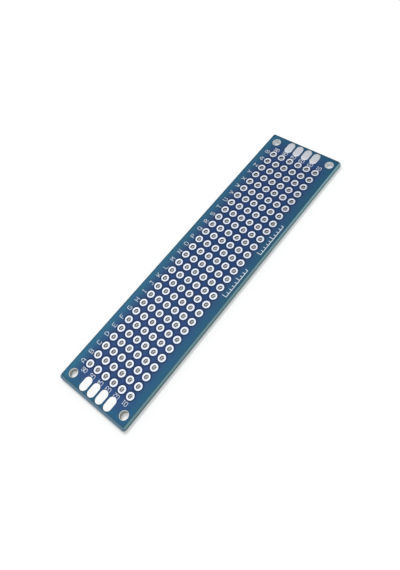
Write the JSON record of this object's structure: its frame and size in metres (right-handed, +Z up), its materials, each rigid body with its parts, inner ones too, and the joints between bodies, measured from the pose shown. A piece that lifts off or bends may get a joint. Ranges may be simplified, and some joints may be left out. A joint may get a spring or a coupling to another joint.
{
  "type": "prototype board",
  "caption": "Narrow double-sided prototype board with a square grid of plated through-holes, oval end pads and corner mounting holes.",
  "frame": {"origin": "middle of the hole grid, in the plane of the bottom pads. The outline's own middle lies 0.2 mm to the left of it and 0.1 mm nearer", "axes": "+Y along the board's length towards the far end, +X across it to the right, +Z up out of the top face"},
  "size_m": [0.0205, 0.0808, 0.0016],
  "materials": {
    "glass_epoxy": "snapped glass-epoxy edge, matt",
    "solder_mask": "blue lacquer film, semi-gloss",
    "tinned_copper": "hot-air levelled tin, bright",
    "legend_ink": "white screen-printed ink"
  },
  "bodies": {
    "root": {"substrate": "glass_epoxy", "solder_mask_top": "solder_mask", "solder_mask_bottom": "solder_mask", "plated_holes_row_01": "tinned_copper", "plated_holes_row_02": "tinned_copper", "plated_holes_row_03": "tinned_copper", "plated_holes_row_04": "tinned_copper", "plated_holes_row_05": "tinned_copper", "plated_holes_row_06": "tinned_copper", "plated_holes_row_07": "tinned_copper", "plated_holes_row_08": "tinned_copper", "plated_holes_row_09": "tinned_copper", "plated_holes_row_10": "tinned_copper", "plated_holes_row_11": "tinned_copper", "plated_holes_row_12": "tinned_copper", "plated_holes_row_13": "tinned_copper", "plated_holes_row_14": "tinned_copper", "plated_holes_row_15": "tinned_copper", "plated_holes_row_16": "tinned_copper", "plated_holes_row_17": "tinned_copper", "plated_holes_row_18": "tinned_copper", "plated_holes_row_19": "tinned_copper", "plated_holes_row_20": "tinned_copper", "plated_holes_row_21": "tinned_copper", "plated_holes_row_22": "tinned_copper", "plated_holes_row_23": "tinned_copper", "plated_holes_row_24": "tinned_copper", "plated_holes_row_25": "tinned_copper", "plated_holes_row_26": "tinned_copper", "plated_holes_row_27": "tinned_copper", "plated_holes_row_28": "tinned_copper", "end_pad_near_bottom_1": "tinned_copper", "end_pad_near_bottom_2": "tinned_copper", "end_pad_near_bottom_3": "tinned_copper", "end_pad_near_bottom_4": "tinned_copper", "end_pad_near_top_1": "tinned_copper", "end_pad_near_top_2": "tinned_copper", "end_pad_near_top_3": "tinned_copper", "end_pad_near_top_4": "tinned_copper", "end_pad_far_bottom_1": "tinned_copper", "end_pad_far_bottom_2": "tinned_copper", "end_pad_far_bottom_3": "tinned_copper", "end_pad_far_bottom_4": "tinned_copper", "end_pad_far_top_1": "tinned_copper", "end_pad_far_top_2": "tinned_copper", "end_pad_far_top_3": "tinned_copper", "end_pad_far_top_4": "tinned_copper"}
  },
  "joints": []
}
